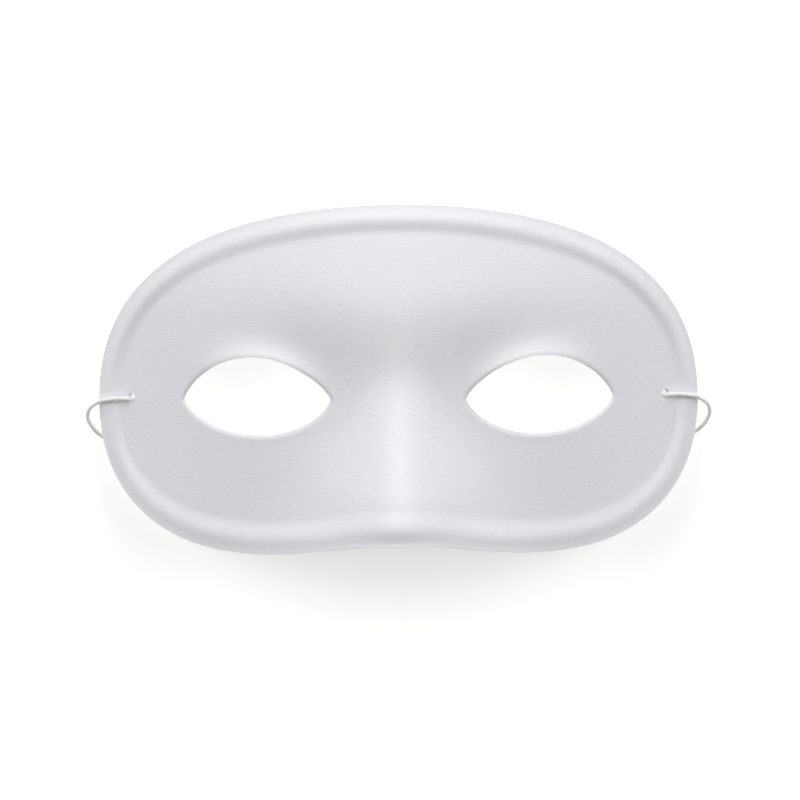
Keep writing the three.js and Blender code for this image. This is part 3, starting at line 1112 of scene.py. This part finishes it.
def add_soft_light(name, tilt, around, power, colour):
    """A square soft light that faces the mask."""
    away = light_direction(tilt, around)
    deselect_all()
    bpy.ops.object.light_add(
        type="AREA", location=away * LIGHT_DISTANCE,
        rotation=away.to_track_quat("Z", "Y").to_euler())
    light = bpy.context.object
    light.name = name
    light.data.size = LIGHT_SIZE
    light.data.energy = power
    light.data.color = colour


def add_world():
    """A world without light of its own, so that only the lights and the floor shine."""
    world = bpy.data.worlds.new("unlit_studio")
    world.use_nodes = True
    world.node_tree.nodes["Background"].inputs["Strength"].default_value = 0
    bpy.context.scene.world = world


def add_floor():
    deselect_all()
    bpy.ops.mesh.primitive_plane_add(size=FLOOR_SIZE, location=(0, 0, 0))
    floor = bpy.context.object
    floor.name = "floor"
    floor.data.materials.append(floor_material())


# Operators.

class EYEMASK_OT_set_stage(Operator):
    """Sets up the camera, the soft lights and the pale floor"""

    bl_idname = "eyemask.set_stage"
    bl_label = "Set Stage"

    def execute(self, context):
        mask = context.scene.eye_mask
        add_camera(mask)
        add_world()
        for light in SOFT_LIGHTS:
            add_soft_light(*light)
        add_floor()
        context.scene.view_settings.view_transform = "Standard"
        return {"FINISHED"}


class EYEMASK_OT_tie_elastic(Operator):
    """Ties the elastic through both holes and lays it beneath the mask"""

    bl_idname = "eyemask.tie_elastic"
    bl_label = "Tie Elastic"

    def execute(self, context):
        mask = context.scene.eye_mask
        sizes = mask.elastic
        material = elastic_material(mask)
        points = elastic_points()
        cord = round_tube("round_elastic", points, sizes.diameter / 2, CORD_STEPS)
        cord.data.materials.append(material)
        knots = [overhand_knot(side, sizes, material) for side in (-1, 1)]
        for knot, node in zip(knots, ("elastic_knot_left", "elastic_knot_right")):
            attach(knot, "root")
            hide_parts(node)
        line = curve_points(points, CORD_STEPS)
        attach(cord, "root")
        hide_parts("elastic_tie_left", "elastic_run", "elastic_tie_right")
        return {"FINISHED"}


class EYEMASK_OT_mould_shell(Operator):
    """Moulds the cloth-covered shell with its rolled rim and eye holes"""

    bl_idname = "eyemask.mould_shell"
    bl_label = "Mould Shell"

    def execute(self, context):
        shell = model_shell(context.scene.eye_mask)
        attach(shell, "root")
        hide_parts("mask_shell")
        return {"FINISHED"}


class EYEMASK_PT_sidebar(Panel):
    """Lists the steps that make the mask, and its sizes"""

    bl_label = "Eye Mask"
    bl_idname = "EYEMASK_PT_sidebar"
    bl_space_type = "VIEW_3D"
    bl_region_type = "UI"
    bl_category = "Eye Mask"

    def draw(self, context):
        mask = context.scene.eye_mask
        for operator in OPERATORS:
            self.layout.operator(operator.bl_idname)
        for part in (mask.edge, mask.elastic, mask.colours, mask.stage):
            box = self.layout.box()
            for name in part.__annotations__:
                box.prop(part, name)


SETTINGS = (
    OutlineSizes, EyeHoleSizes, BumpSizes, ReliefSizes, EdgeSizes, RestSizes, ElasticSizes,
    FinishColours, StageSizes, EyeMaskSettings,
)
OPERATORS = (EYEMASK_OT_set_stage, EYEMASK_OT_tie_elastic, EYEMASK_OT_mould_shell)


def register():
    for part in (*SETTINGS, *OPERATORS, EYEMASK_PT_sidebar):
        bpy.utils.register_class(part)
    bpy.types.Scene.eye_mask = PointerProperty(type=EyeMaskSettings)


def unregister():
    del bpy.types.Scene.eye_mask
    for part in reversed((*SETTINGS, *OPERATORS, EYEMASK_PT_sidebar)):
        bpy.utils.unregister_class(part)


def main():
    register()
    set_bumps(bpy.context.scene.eye_mask.relief)
    bpy.ops.eyemask.set_stage()
    bpy.ops.eyemask.tie_elastic()
    bpy.ops.eyemask.mould_shell()


if __name__ == "__main__":
    main()
